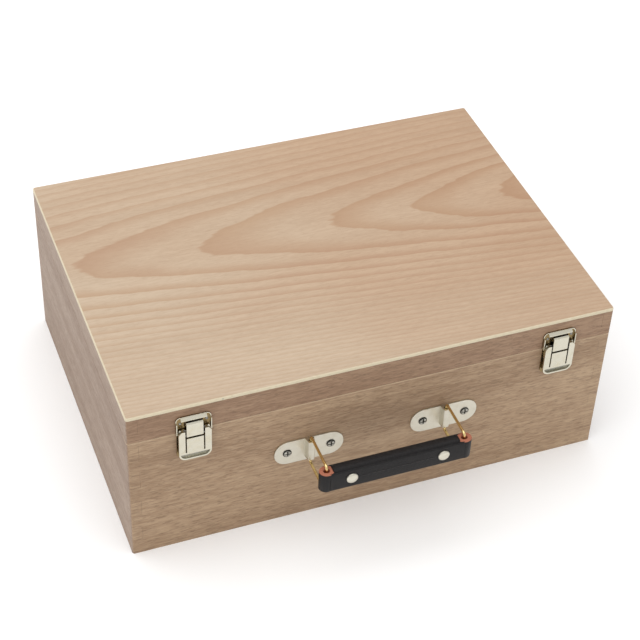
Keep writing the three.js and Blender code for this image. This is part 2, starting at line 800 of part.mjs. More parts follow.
for (const [name, x] of [["left", latchX[0]], ["right", latchX[1]]]) {
  add("latch_catch_" + name, catchPlate(x), latchMetal);
  add("latch_base_" + name, latchBase(x), latchMetal);
  add("latch_lever_" + name, lever(x), latchMetal);
  add("latch_hook_" + name, hookLink(x), latchMetal);
  const leverPin = latchPin(leverPivot, x, earReach(baseEar) + 0.4);
  add("latch_lever_pin_" + name, leverPin, screwSteel);
  const hookPin = latchPin(linkPivot, x, earReach(leverEar) + 0.3);
  add("latch_hook_pin_" + name, hookPin, screwSteel);
}

// ---------------------------------------------------------------- carrying handle
function padScrewPlaces() {
  const places = [];
  for (const pad of [-1, 1]) {
    for (const end of [-1, 1]) {
      places.push([handleX + (pad * handleSpacing) / 2 + end * padScrewX, handleZ]);
    }
  }
  return places;
}

function screwBore(x, z) {
  return cylinder("y", screwShank + 0.2, -2, screwLength + 0.5, [x, frontFace, z]);
}

// A pan-headed screw with a crossed slot. Distances run inwards from the front.
function padScrew(x, z) {
  const seat = -(glueLine + padThickness + 0.1);
  const profile = [
    [0, seat - 1.5],
    [2.2, seat - 1.3],
    [padScrewHead, seat - 0.3],
    [padScrewHead, seat],
    [screwShank, seat],
    [screwShank, screwLength - 2],
    [0, screwLength],
  ];
  let screw = turned("y", profile, [x, frontFace, z], 16);
  const long = screwSlot.half;
  const narrow = screwSlot.width / 2;
  const slotY = [frontFace + seat - 2, frontFace + seat - 1.5 + screwSlot.depth];
  for (const [wide, tall] of [[long, narrow], [narrow, long]]) {
    screw = screw.subtract(block([x - wide, x + wide], slotY, [z - tall, z + tall]));
  }
  return screw;
}

// A pad with a raised bridge in the middle, which the ring's inner bar turns in.
function handlePad(x) {
  const half = padHeight / 2;
  const low = handleZ - half;
  const high = handleZ + half;
  const outline = softRectangle(x - padLength / 2, x + padLength / 2, low, high, half - 0.5);
  for (const end of [-1, 1]) {
    outline.holes.push(circlePath(x + end * padScrewX, handleZ, screwShank + 0.2));
  }
  const foot = bridgeWidth.foot / 2;
  const crown = bridgeWidth.crown / 2;
  const bridge = polygon([
    [x + foot, out(glueLine)],
    [x - foot, out(glueLine)],
    [x - foot, out(padThickness)],
    [x - crown - 0.6, out(bridgeReach - 0.7)],
    [x - crown, out(bridgeReach)],
    [x + crown, out(bridgeReach)],
    [x + crown + 0.6, out(bridgeReach - 0.7)],
    [x + foot, out(padThickness)],
  ]);
  bridge.holes.push(circlePath(x, out(ringPivotOut), ringWire + fit + 0.2));
  const bridgeFoot = handleZ + ringRise - bridgeHeight / 2;
  const plate = sheet(outline, padThickness);
  const room = cylinder("z", ringWire + fit + 0.2, low - 1, high + 1, [x, out(ringPivotOut), 0], 24);
  return plate.add(prismZ(bridge, bridgeFoot, bridgeFoot + bridgeHeight)).subtract(room);
}

// A rectangular ring of round wire, standing straight out: a torus whose quarters are moved apart.
function ring(x) {
  const sides = 16;
  const geometry = new THREE.TorusGeometry(ringBend, ringWire, 10, sides);
  geometry.rotateZ(Math.PI / sides);
  const points = geometry.getAttribute("position");
  for (let i = 0; i < points.count; i += 1) {
    const a = points.getX(i);
    const b = points.getY(i);
    points.setX(i, a + Math.sign(a) * (ringReach / 2 - ringBend));
    points.setY(i, b + Math.sign(b) * (ringHeight / 2 - ringBend));
  }
  const stand = new THREE.Matrix4().makeBasis(
    new THREE.Vector3(0, -1, 0),
    new THREE.Vector3(0, 0, 1),
    new THREE.Vector3(-1, 0, 0),
  );
  geometry.applyMatrix4(stand);
  return solid(geometry.translate(x, out(ringPivotOut + ringReach / 2), handleZ + ringRise));
}

const gripOut = ringPivotOut + ringReach;

function grip() {
  const half = gripLength / 2;
  const y = [out(gripOut + gripThickness / 2), out(gripOut - gripThickness / 2)];
  const corner = gripThickness / 2 - 0.2;
  const outline = softRectangle(handleX - half, handleX + half, y[0], y[1], corner);
  for (const side of [-1, 1]) {
    const bar = handleX + (side * handleSpacing) / 2;
    outline.holes.push(circlePath(bar, out(gripOut), ringWire + fit + 0.15));
  }
  const low = gripZ - gripHeight / 2;
  let body = prismZ(outline, low, low + gripHeight);
  for (const side of [-1, 1]) {
    const at = [handleX + side * rivetX, 0, rivetZ];
    body = body.subtract(cylinder("y", rivetShank + 0.2, y[0] - 1, y[1] + 1, at));
  }
  return body;
}

// A domed rivet through the grip with a flat washer head at the back.
function gripRivet(x) {
  const frontY = out(gripOut + gripThickness / 2 + 0.1);
  const backY = out(gripOut - gripThickness / 2 - 0.1);
  const profile = [
    [0, frontY - 1.9],
    [rivetRadius * 0.45, frontY - 1.7],
    [rivetRadius * 0.82, frontY - 1.0],
    [rivetRadius, frontY],
    [rivetShank, frontY],
    [rivetShank, backY],
    [rivetRadius - 1, backY],
    [rivetRadius - 1, backY + 0.7],
    [0, backY + 0.7],
  ];
  return turned("y", profile, [x, 0, rivetZ], 20);
}

for (const [name, side] of [["left", -1], ["right", 1]]) {
  const x = handleX + (side * handleSpacing) / 2;
  add("handle_pad_" + name, handlePad(x), padMetal);
  add("handle_ring_" + name, ring(x), goldWire);
  add("grip_rivet_" + name, gripRivet(handleX + side * rivetX), padMetal);
}
add("handle_grip", grip(), leather);
padScrewPlaces().forEach(([x, z], i) => {
  add("pad_screw_" + (i + 1), padScrew(x, z), screwSteel);
});

export default group;
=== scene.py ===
"""A finger-jointed wooden painter's box with two draw latches and a leather handle.

Metres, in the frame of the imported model: +Z up, the latches and the handle face -Y.
"""

import json
import math

import bpy
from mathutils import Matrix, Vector


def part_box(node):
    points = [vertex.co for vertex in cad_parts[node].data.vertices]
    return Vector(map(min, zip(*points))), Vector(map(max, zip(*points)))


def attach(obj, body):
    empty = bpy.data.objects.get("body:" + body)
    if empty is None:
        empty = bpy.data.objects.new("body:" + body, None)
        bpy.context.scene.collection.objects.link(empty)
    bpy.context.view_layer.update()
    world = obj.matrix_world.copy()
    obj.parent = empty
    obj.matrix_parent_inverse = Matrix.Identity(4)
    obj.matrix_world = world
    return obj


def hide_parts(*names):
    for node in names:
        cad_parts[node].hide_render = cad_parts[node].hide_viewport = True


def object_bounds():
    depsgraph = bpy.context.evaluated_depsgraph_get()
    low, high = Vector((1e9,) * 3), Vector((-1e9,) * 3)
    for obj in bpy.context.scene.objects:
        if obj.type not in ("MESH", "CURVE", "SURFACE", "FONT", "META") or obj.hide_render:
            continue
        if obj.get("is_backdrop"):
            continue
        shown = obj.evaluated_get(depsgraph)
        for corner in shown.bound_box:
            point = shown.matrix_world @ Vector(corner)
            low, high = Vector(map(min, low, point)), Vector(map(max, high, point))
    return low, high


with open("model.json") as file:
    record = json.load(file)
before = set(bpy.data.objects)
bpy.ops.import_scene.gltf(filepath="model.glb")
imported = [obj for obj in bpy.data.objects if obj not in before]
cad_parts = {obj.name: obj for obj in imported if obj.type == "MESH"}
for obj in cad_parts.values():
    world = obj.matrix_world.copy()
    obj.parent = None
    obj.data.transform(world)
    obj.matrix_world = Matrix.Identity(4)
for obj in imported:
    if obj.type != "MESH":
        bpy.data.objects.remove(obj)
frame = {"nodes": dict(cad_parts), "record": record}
cad_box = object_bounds()

MM = 0.001
SIDES = ("left", "right")
NODES = frame["nodes"]
PLATE_THICKNESS = 0.9 * MM  # of the latches' catch and base plates

# Places that the materials follow, taken from the CAD, in mm.
SCREW_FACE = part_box("pad_screw_1")[0].y / MM
LATCH_FACE = (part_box("latch_catch_left")[1].y - PLATE_THICKNESS) / MM
SEAM_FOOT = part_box("base_front_wall")[1].z / MM
LID_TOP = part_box("lid_top_panel")[1].z / MM
PALETTE_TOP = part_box("palette")[1].z / MM

# The camera: a long lens, turned to the left of the front and tilted down, slightly rolled.
LENS = 96.32
SENSOR = 36.0
AZIMUTH = math.radians(-22.01)
ELEVATION = math.radians(41.28)
ROLL = math.radians(2.6)
DISTANCE = 1.5035
TARGET = Vector((0.0106, 0.0050, 0.0615))

# The light: a white room, a very large softbox overhead and to the left, and a white floor.
ROOM_LIGHT = 0.86
SOFTBOX_POWER = 19.0
SOFTBOX_PLACE = Vector((-0.35, 0.0, 1.6))
SOFTBOX_AIM = Vector((0.0, 0.0, 0.1))
SOFTBOX_SIZE = 2.2
FLOOR_TONE = (0.97, 0.97, 0.97, 1)
FLOOR_MOTTLE = (0.8, 0.8, 0.8, 1)
FLOOR_HALF = 4.0

# The Mix node's factor and colour sockets, by place, because its other sockets share their names.
MIX_FACTOR = 0
MIX_A = 6
MIX_B = 7
MIX_COLOUR = 2

# Straight-grained wood: how much each size of streak counts.
BROAD_STREAKS = 0.38
FINE_STREAKS = 0.16
SHORT_STREAKS = 0.46
PORE_SHADE = 0.66  # a pore's tone against the dark wood's

# The arches of the veneer, in mm: parabolas whose tips lie on one line along the sheet.
TIP_LINE = 25  # the line's place along Y at the middle of the sheet
TIP_LINE_SLOPE = -0.03
BEND_BELOW = 1 / 12.8  # how fast an arch opens on the near side of the line
BEND_ABOVE = 1 / 16.8
BEND_CHANGE = 12  # the distance from the line over which one bend becomes the other
FIRST_RING = -83
RING_PITCH = 111
CROWDING = (27, 400, 0, 1.5)  # from and to along X, and the extra rings gained between them
WANDER = 0.62  # how many rings the slow wander moves an arch
RIPPLE = 0.16

# The painted highlight on the planed edge of the base's front, in mm from the seam's foot.
ARRIS_HIGHLIGHT_DEPTH = 0.9
ARRIS_HIGHLIGHT_FULL = 0.4
ARRIS_HIGHLIGHT_ABOVE = 0.05
ARRIS_HIGHLIGHT_STRENGTH = 0.85


# ---------------------------------------------------------------- materials
class Nodes:
    """One material's node tree. Most calls add a node and return its output socket."""

    def __init__(self, name):
        self.material = bpy.data.materials.new(name)
        self.material.use_nodes = True
        self.tree = self.material.node_tree
        self.tree.nodes.clear()
        self.place = self.tree.nodes.new("ShaderNodeTexCoord")
        self.shader = self.tree.nodes.new("ShaderNodeBsdfPrincipled")
        output = self.tree.nodes.new("ShaderNodeOutputMaterial")
        self.tree.links.new(self.shader.outputs[0], output.inputs[0])

    def put(self, value, socket):
        if isinstance(value, bpy.types.NodeSocket):
            self.tree.links.new(value, socket)
        else:
            socket.default_value = value

    def math(self, operation, a, b=0.0, c=0.0):
        node = self.tree.nodes.new("ShaderNodeMath")
        node.operation = operation
        for value, socket in zip((a, b, c), node.inputs):
            self.put(value, socket)
        return node.outputs[0]

    def stretch(self, vector, scale):
        node = self.tree.nodes.new("ShaderNodeVectorMath")
        node.operation = "MULTIPLY"
        self.put(vector, node.inputs[0])
        node.inputs[1].default_value = scale
        return node.outputs[0]

    def millimetres(self):
        return self.stretch(self.place.outputs["Object"], (1 / MM, 1 / MM, 1 / MM))

    def axes(self, vector):
        node = self.tree.nodes.new("ShaderNodeSeparateXYZ")
        self.put(vector, node.inputs[0])
        return node.outputs

    def noise(self, vector, scale, detail=2.0, roughness=0.5, distortion=0.0):
        node = self.tree.nodes.new("ShaderNodeTexNoise")
        self.put(vector, node.inputs["Vector"])
        node.inputs["Scale"].default_value = scale
        node.inputs["Detail"].default_value = detail
        node.inputs["Roughness"].default_value = roughness
        node.inputs["Distortion"].default_value = distortion
        return node.outputs[0]

    def cells(self, vector, scale, feature="F1"):
        node = self.tree.nodes.new("ShaderNodeTexVoronoi")
        node.feature = feature
        self.put(vector, node.inputs["Vector"])
        node.inputs["Scale"].default_value = scale
        return node.outputs["Distance"]

    def ramp(self, value, stops):
        node = self.tree.nodes.new("ShaderNodeValToRGB")
        self.put(value, node.inputs[0])
        elements = node.color_ramp.elements
        while len(elements) < len(stops):
            elements.new(0.5)
        for element, (position, colour) in zip(elements, stops):
            element.position = position
            element.color = colour if len(colour) == 4 else (*colour, 1)
        return node.outputs[0]

    def fade(self, value, low, high, from_value=0.0, to_value=1.0, kind="SMOOTHSTEP"):
        node = self.tree.nodes.new("ShaderNodeMapRange")
        node.interpolation_type = kind
        for amount, socket in zip((value, low, high, from_value, to_value), node.inputs):
            self.put(amount, socket)
        return node.outputs[0]

    def inverse(self, value):
        return self.math("SUBTRACT", 1, value)

    def mix(self, factor, a, b, blend="MIX"):
        node = self.tree.nodes.new("ShaderNodeMix")
        node.data_type = "RGBA"
        node.blend_type = blend
        self.put(factor, node.inputs[MIX_FACTOR])
        self.put(a, node.inputs[MIX_A])
        self.put(b, node.inputs[MIX_B])
        return node.outputs[MIX_COLOUR]

    def relief(self, height, depth, strength):
        """Raises the surface by a 0 to 1 height, whose depth is in mm."""
        node = self.tree.nodes.new("ShaderNodeBump")
        node.inputs["Strength"].default_value = strength
        node.inputs["Distance"].default_value = depth * MM
        self.put(height, node.inputs["Height"])
        self.put(node.outputs[0], self.shader.inputs["Normal"])

    def finish(self, **values):
        for name, value in values.items():
            self.put(value, self.shader.inputs[name.replace("_", " ")])
        return self.material


def tone(red, green, blue):
    """A colour given as it looks on a screen, 0 to 255, as the shader's linear colour."""
    def linear(value):
        value /= 255
        return value / 12.92 if value <= 0.04045 else ((value + 0.055) / 1.055) ** 2.4

    return (linear(red), linear(green), linear(blue), 1)


def grain(nodes, place, along, fleck_depth):
    """Returns (streaks, flecks) of straight-grained wood: 0 to 1 values, long along one axis."""
    def scale(across, length):
        return tuple(length if axis == along else across for axis in range(3))

    broad = nodes.noise(nodes.stretch(place, scale(0.05, 0.004)), 1, 3)
    fine = nodes.noise(nodes.stretch(place, scale(0.50, 0.020)), 1, 4, 0.6)
    short = nodes.noise(nodes.stretch(place, scale(0.62, 0.085)), 1, 2, 0.6, 0.6)
    streaks = nodes.math("MULTIPLY", broad, BROAD_STREAKS)
    streaks = nodes.math("ADD", streaks, nodes.math("MULTIPLY", fine, FINE_STREAKS))
    streaks = nodes.math("MULTIPLY_ADD", short, SHORT_STREAKS, streaks)
    speck = nodes.noise(nodes.stretch(place, scale(1.0, 0.16)), 1, 2, 0.55, 0.5)
    flecks = nodes.fade(speck, 0.53, 0.67, 0.0, fleck_depth)
    return streaks, flecks


def beech_face(nodes, place, along, dark, light):
    """Steamed beech with short fine flecks, as (colour, relief height, streaks)."""
    streaks, flecks = grain(nodes, place, along, 0.55)
    pore = (*(channel * PORE_SHADE for channel in dark[:3]), 1)
    colour = nodes.mix(flecks, nodes.ramp(streaks, ((0.40, dark), (0.60, light))), pore)
    return colour, nodes.math("SUBTRACT", streaks, flecks), streaks


def beech_board(name, along, tones, end_tones, arris_highlight=None):
    """A beech board along X (0) or Y (1). Its end grain takes the tones of the face it shows in, since each
    face's tones carry the painted shade and painted light of that face.

    `arris_highlight` is the height in mm and the colour of the painted highlight along the planed edge below
    the lid's seam.
    """
    nodes = Nodes(name)
    place = nodes.millimetres()
    colour, height, streaks = beech_face(nodes, place, along, *tones)
    end_colour = beech_face(nodes, place, 1 - along, *end_tones)[0]
    facing = nodes.axes(nodes.place.outputs["Normal"])[along]
    end = nodes.fade(nodes.math("ABSOLUTE", facing), 0.55, 0.8)
    colour = nodes.mix(end, colour, end_colour)
    if arris_highlight:
        level, pale = arris_highlight
        # Painted highlight: a pale band along the planed edge, just below the seam.
        z = nodes.axes(place)[2]
        near = nodes.fade(z, level - ARRIS_HIGHLIGHT_DEPTH, level - ARRIS_HIGHLIGHT_FULL, 0, ARRIS_HIGHLIGHT_STRENGTH)
        below = nodes.math("LESS_THAN", z, level + ARRIS_HIGHLIGHT_ABOVE)
        near = nodes.math("MULTIPLY", near, below)
        colour = nodes.mix(near, colour, pale)
    nodes.relief(height, 0.12, 0.5)
    roughness = nodes.fade(streaks, 0.3, 0.7, 0.66, 0.54)
    return nodes.finish(Base_Color=colour, Roughness=roughness)


def cathedral(nodes, place):
    """The nested arches of a flat-sawn sheet, as two 0 to 1 values: the dark bands and their rims.

    Each arch is a parabola along X. A slow wander and a fine ripple keep it from looking drawn.
    """
    x, y, _ = nodes.axes(place)
    wander = nodes.noise(nodes.stretch(place, (0.010, 0.030, 0)), 1, 3, 0.5)
    wander = nodes.math("SUBTRACT", wander, 0.5)
    tips = nodes.math("MULTIPLY_ADD", x, TIP_LINE_SLOPE, TIP_LINE)
    offset = nodes.math("SUBTRACT", y, tips)
    bend = nodes.fade(offset, -BEND_CHANGE, BEND_CHANGE, BEND_BELOW, BEND_ABOVE)
    drop = nodes.math("MULTIPLY", nodes.math("MULTIPLY", offset, offset), bend)
    along = nodes.math("SUBTRACT", x, drop)
    phase = nodes.math("DIVIDE", nodes.math("SUBTRACT", along, FIRST_RING), RING_PITCH)
    phase = nodes.math("ADD", phase, nodes.fade(along, *CROWDING, kind="LINEAR"))
    phase = nodes.math("MULTIPLY_ADD", wander, WANDER, phase)
    ripple = nodes.noise(nodes.stretch(place, (0.05, 0.25, 0)), 1, 2)
    phase = nodes.math("MULTIPLY_ADD", nodes.math("SUBTRACT", ripple, 0.5), RIPPLE, phase)
    ring = nodes.math("FRACT", phase)
    before_onset = nodes.inverse(nodes.fade(ring, 0.955, 1.0))
    band = nodes.inverse(nodes.math("MULTIPLY", before_onset, nodes.fade(ring, 0.02, 0.62)))
    rim = nodes.inverse(nodes.fade(ring, 0.0, 0.10))
    return band, rim


def beech_veneer(name, top):
    """Peach-tan beech veneer on a sheet whose face lies at `top` mm, with a pale core at its edges."""
    nodes = Nodes(name)
    place = nodes.millimetres()
    band, rim = cathedral(nodes, place)
    streaks, flecks = grain(nodes, place, 0, 0.16)
    light = nodes.ramp(streaks, ((0.38, tone(175, 153, 129)), (0.62, tone(186, 165, 141))))
    warm = nodes.noise(nodes.stretch(place, (0.004, 0.008, 0)), 1, 2)
    dark = nodes.ramp(warm, ((0.38, tone(170, 141, 112)), (0.64, tone(167, 137, 111))))
    x, y, z = nodes.axes(place)
    from_middle = nodes.math("ABSOLUTE", nodes.math("SUBTRACT", y, 20))
    strength = nodes.fade(from_middle, 20, 120, 0.88, 0.34)
    colour = nodes.mix(nodes.math("MULTIPLY", band, strength), light, dark)
    colour = nodes.mix(nodes.math("MULTIPLY", rim, 0.20), colour, tone(158, 127, 98))
    colour = nodes.mix(flecks, colour, tone(146, 116, 90))
    drift = nodes.math("MULTIPLY_ADD", x, 0.0016, nodes.math("MULTIPLY", y, 0.0012))
    drift = nodes.math("ADD", drift, warm)
    cast = nodes.ramp(drift, ((0.2, (1.0, 1.0, 1.0)), (0.78, (0.92, 0.81, 0.73))))
    colour = nodes.mix(1.0, colour, cast, "MULTIPLY")
    up = nodes.axes(nodes.place.outputs["Normal"])[2]
    edge = nodes.inverse(nodes.fade(z, top - 0.5, top - 0.2))
    edge = nodes.math("MULTIPLY", edge, nodes.fade(up, -0.95, -0.6))
    fibre = nodes.noise(nodes.stretch(place, (0.3, 0.3, 2.4)), 1, 3)
    core = nodes.ramp(fibre, ((0.35, tone(200, 187, 158)), (0.65, tone(215, 203, 176))))
    layer = nodes.math("SINE", nodes.math("MULTIPLY", z, 5.2))
    core = nodes.mix(nodes.fade(layer, 0.8, 1.0, 0, 0.10), core, tone(176, 154, 124))
    colour = nodes.mix(edge, colour, core)
    nodes.relief(nodes.math("SUBTRACT", streaks, flecks), 0.08, 0.5)
    return nodes.finish(Base_Color=colour, Roughness=nodes.fade(streaks, 0.3, 0.7, 0.56, 0.46))


def plywood():
    """Bare plywood: pale rotary-cut birch with wide, wandering rings."""
    nodes = Nodes("birch_plywood_sheet")
    place = nodes.millimetres()
    swirl = nodes.noise(nodes.stretch(place, (0.006, 0.022, 0)), 1, 2, 0.5, 0.6)
    rings = nodes.math("SINE", nodes.math("MULTIPLY", swirl, 60))
    streaks, flecks = grain(nodes, place, 0, 0.25)
    tint = nodes.math("MULTIPLY_ADD", rings, 0.06, streaks)
    colour = nodes.ramp(tint, ((0.34, tone(186, 160, 122)), (0.66, tone(214, 193, 158))))
    colour = nodes.mix(flecks, colour, tone(150, 118, 84))
    nodes.relief(tint, 0.1, 0.5)
    return nodes.finish(Base_Color=colour, Roughness=nodes.fade(streaks, 0.3, 0.7, 0.72, 0.6))


def sanded_wood():
    """Pale sanded wood for the dividers, ledges and the canvas holder."""
    nodes = Nodes("sanded_inner_wood")
    place = nodes.millimetres()
    streaks, flecks = grain(nodes, place, 0, 0.28)
    colour = nodes.ramp(streaks, ((0.34, tone(184, 155, 118)), (0.66, tone(210, 185, 148))))
    colour = nodes.mix(flecks, colour, tone(140, 108, 76))
    nodes.relief(nodes.math("SUBTRACT", streaks, flecks), 0.12, 0.6)
    return nodes.finish(Base_Color=colour, Roughness=nodes.fade(streaks, 0.3, 0.7, 0.7, 0.58))


def plated_metal(name, colour, shade, roughness, wear=0.3):
    """Plated sheet metal: faint draw lines, soft blotches in the gloss and a slightly duller tint."""
    nodes = Nodes(name)
    place = nodes.millimetres()
    blotch = nodes.noise(place, 0.22, 3)
    lines = nodes.noise(nodes.stretch(place, (3.0, 3.0, 0.25)), 1, 3, 0.6)
    tint = nodes.fade(blotch, 0.4, 0.75, 0, wear)
    surface = nodes.mix(tint, colour, shade)
    gloss = nodes.math("MULTIPLY_ADD", blotch, 0.16, roughness - 0.08)
    gloss = nodes.math("MULTIPLY_ADD", nodes.math("SUBTRACT", lines, 0.5), 0.12, gloss)
    height = nodes.math("MULTIPLY_ADD", lines, 0.25, nodes.noise(place, 0.45, 2))
    nodes.relief(height, 0.06, 0.35)
    return nodes.finish(Base_Color=surface, Roughness=gloss, Metallic=1.0)


def latch_metal():
    """Champagne plating, with dark golden painted shade in the hollow by the wall and a grey painted
    reflection where it faces down.
    """
    nodes = Nodes("champagne_plate")
    place = nodes.millimetres()
    blotch = nodes.noise(place, 0.22, 3)
    lines = nodes.noise(nodes.stretch(place, (3.0, 3.0, 0.25)), 1, 3, 0.6)
    champagne = (0.62, 0.59, 0.49, 1)
    tarnish = (0.54, 0.48, 0.32, 1)
    # Painted shade: dark gold for the plate's face in the hollow by the wall.
    recess_shade = (0.20, 0.13, 0.04, 1)
    # Painted reflection: grey for faces that look down, standing for the shaded floor below them.
    underside_reflection = (0.20, 0.20, 0.17, 1)
    surface = nodes.mix(nodes.fade(blotch, 0.4, 0.75, 0, 0.3), champagne, tarnish)
    y = nodes.axes(place)[1]
    # Painted shade on the plate's face by the wall.
    shade_in_recess = nodes.fade(y, LATCH_FACE - 0.5, LATCH_FACE - 0.15, 0, 0.9)
    surface = nodes.mix(shade_in_recess, surface, recess_shade)
    up = nodes.axes(nodes.place.outputs["Normal"])[2]
    # Painted reflection on faces that look down.
    below = nodes.inverse(nodes.fade(up, -0.30, -0.12))
    surface = nodes.mix(nodes.math("MULTIPLY", below, 0.85), surface, underside_reflection)
    gloss = nodes.math("MULTIPLY_ADD", blotch, 0.14, 0.18)
    nodes.relief(nodes.math("MULTIPLY_ADD", lines, 0.25, blotch), 0.06, 0.35)
    return nodes.finish(Base_Color=surface, Roughness=gloss, Metallic=1.0)


def screw_metal():
    """Zinc screw heads, with painted shade in their crossed slot."""
    nodes = Nodes("slotted_screw_zinc")
    place = nodes.millimetres()
    y = nodes.axes(place)[1]
    scuff = nodes.noise(place, 1.4, 3)
    zinc = (0.50, 0.49, 0.44, 1)
    scuffed = (0.30, 0.28, 0.23, 1)
    # Painted shade: near black in the crossed slot, below the head's face.
    slot = (0.035, 0.032, 0.028, 1)
    surface = nodes.mix(nodes.fade(scuff, 0.4, 0.7, 0, 0.5), zinc, scuffed)
    # Painted shade in the slot below the head's face.
    shade_in_recess = nodes.fade(y, SCREW_FACE + 0.45, SCREW_FACE + 0.8)
    surface = nodes.mix(shade_in_recess, surface, slot)
    nodes.relief(scuff, 0.08, 0.4)
    return nodes.finish(Base_Color=surface, Roughness=nodes.fade(scuff, 0.3, 0.7, 0.30, 0.42), Metallic=1.0)


def leather(name, dark, light, roughness):
    """Pressed leather: small rounded pebbles, fine creases and a soft waxed shine."""
    nodes = Nodes(name)
    place = nodes.millimetres()
    warp = nodes.noise(place, 0.7, 2)
    pebbles = nodes.cells(nodes.stretch(place, (1.0, 1.0, 1.25)), 1.5)
    creases = nodes.cells(place, 0.62, "DISTANCE_TO_EDGE")
    crease = nodes.inverse(nodes.fade(creases, 0.0, 0.10))
    tint = nodes.fade(nodes.math("ADD", warp, nodes.math("MULTIPLY", pebbles, 0.3)), 0.45, 0.95)
    colour = nodes.mix(tint, dark, light)
    height = nodes.math("SUBTRACT", nodes.inverse(pebbles), nodes.math("MULTIPLY", crease, 0.4))
    nodes.relief(height, 0.22, 0.55)
    gloss = nodes.math("MULTIPLY_ADD", warp, 0.18, roughness - 0.09)
    return nodes.finish(Base_Color=colour, Roughness=gloss, Specular_IOR_Level=0.22)


def cut_edge():
    """The raw red-brown edge of the leather, with its fibres."""
    nodes = Nodes("leather_cut_edge")
    place = nodes.millimetres()
    fibre = nodes.noise(nodes.stretch(place, (2.2, 2.2, 5.0)), 1, 4, 0.7)
    colour = nodes.ramp(fibre, ((0.35, tone(138, 78, 56)), (0.65, tone(184, 116, 90))))
    nodes.relief(fibre, 0.3, 0.7)
    return nodes.finish(Base_Color=colour, Roughness=0.78)


def thread():
    """Waxed black thread with a fine twist."""
    nodes = Nodes("waxed_thread")
    place = nodes.millimetres()
    twist = nodes.math("SINE", nodes.math("MULTIPLY", nodes.axes(place)[0], 9.0))
    colour = nodes.mix(nodes.fade(twist, -1, 1), tone(20, 18, 18), tone(48, 44, 42))
    nodes.relief(twist, 0.1, 0.6)
    return nodes.finish(Base_Color=colour, Roughness=0.5)


def painted_floor():
    """A pale seamless sweep with a barely visible mottle."""
    nodes = Nodes("studio_floor")
    mottle = nodes.noise(nodes.place.outputs["Object"], 3.0, 3)
    colour = nodes.mix(nodes.fade(mottle, 0.3, 0.7, 0, 0.03), FLOOR_TONE, FLOOR_MOTTLE)
    return nodes.finish(Base_Color=colour, Roughness=0.9)


LEATHER = leather("black_leather_strap", tone(15, 13, 14), tone(30, 27, 27), 0.44)
CUT_EDGE = cut_edge()
THREAD = thread()
STEEL = plated_metal("bright_zinc", (0.30, 0.29, 0.27, 1), (0.15, 0.14, 0.12, 1), 0.36)
NICKEL = plated_metal("warm_nickel", (0.64, 0.61, 0.52, 1), (0.52, 0.47, 0.36, 1), 0.33, 0.25)
# A brighter copy of the champagne plating, as a painted highlight on the catch plates' rolled edges.
RIM_PLATE_HIGHLIGHT = plated_metal("champagne_rim_highlight", (0.74, 0.71, 0.60, 1), (0.66, 0.60, 0.44, 1), 0.22, 0.25)
# The boards' tones carry painted light. The front's and the lid's are darkened as painted shade on faces that
# look forward. The sides' are greyed and cooled as painted light on faces that look sideways.
FRONT_TONES_PAINTED_SHADE = (tone(144, 116, 89), tone(175, 148, 118))
LID_TONES_PAINTED_SHADE = (tone(133, 103, 79), tone(157, 127, 100))
SIDE_TONES_PAINTED_LIGHT = (tone(137, 114, 97), tone(158, 136, 118))
# The painted highlight along the planed edge of the base's front, just below the seam.
FRONT_ARRIS_HIGHLIGHT = (SEAM_FOOT, tone(205, 180, 150))
SLOT_MATERIALS = {
    "beech_front": beech_board("beech_front_board", 0, FRONT_TONES_PAINTED_SHADE, SIDE_TONES_PAINTED_LIGHT, FRONT_ARRIS_HIGHLIGHT),
    "beech_side": beech_board("beech_side_board", 1, SIDE_TONES_PAINTED_LIGHT, FRONT_TONES_PAINTED_SHADE),
    "beech_veneer": beech_veneer("beech_veneer_sheet", LID_TOP),
    "birch_plywood": plywood(),
    "inner_wood": sanded_wood(),
    "latch_plate": latch_metal(),
    "nickel_plate": NICKEL,
    "gold_wire": plated_metal("gold_wire_plate", (0.80, 0.60, 0.28, 1), (0.60, 0.42, 0.16, 1), 0.22),
    "brass_hardware": plated_metal("satin_brass", (0.74, 0.58, 0.30, 1), (0.52, 0.38, 0.17, 1), 0.32),
    "steel_fixings": STEEL,
    "black_leather": LEATHER,
}
LID_FRONT = beech_board("beech_lid_board", 0, LID_TONES_PAINTED_SHADE, SIDE_TONES_PAINTED_LIGHT)
LID_SIDE = beech_board("beech_lid_side_board", 1, SIDE_TONES_PAINTED_LIGHT, LID_TONES_PAINTED_SHADE)
SCREWS = screw_metal()
NODE_MATERIALS = {
    "pad_screw_1": SCREWS,
    "pad_screw_2": SCREWS,
    "pad_screw_3": SCREWS,
    "pad_screw_4": SCREWS,
    "lid_front_wall": LID_FRONT,
    "lid_back_wall": LID_FRONT,
    "lid_left_wall": LID_SIDE,
    "lid_right_wall": LID_SIDE,
    "palette": beech_veneer("palette_veneer_sheet", PALETTE_TOP),
}

# How far each kind of edge is rounded. What isn't wood takes the metal's rounding.
BOARD_EDGE = 0.25 * MM
SHEET_EDGE = 0.4 * MM
METAL_EDGE = 0.15 * MM
WELD_DISTANCE = 0.01 * MM
EDGE_ANGLE = math.radians(32)  # the least turn that counts as an edge
EDGE_ROUNDING = {
    "beech_front": BOARD_EDGE,
    "beech_side": BOARD_EDGE,
    "beech_veneer": SHEET_EDGE,
    "birch_plywood": SHEET_EDGE,
    "inner_wood": SHEET_EDGE,
}


# ---------------------------------------------------------------- the CAD pieces
def soften(piece, width):
    """Joins the corners of the faceted solid and rounds its edges a little."""
    weld = piece.modifiers.new("weld", "WELD")
    weld.merge_threshold = WELD_DISTANCE
    bevel = piece.modifiers.new("bevel", "BEVEL")
    bevel.width = width
    bevel.segments = 2
    bevel.limit_method = "ANGLE"
    bevel.angle_limit = EDGE_ANGLE


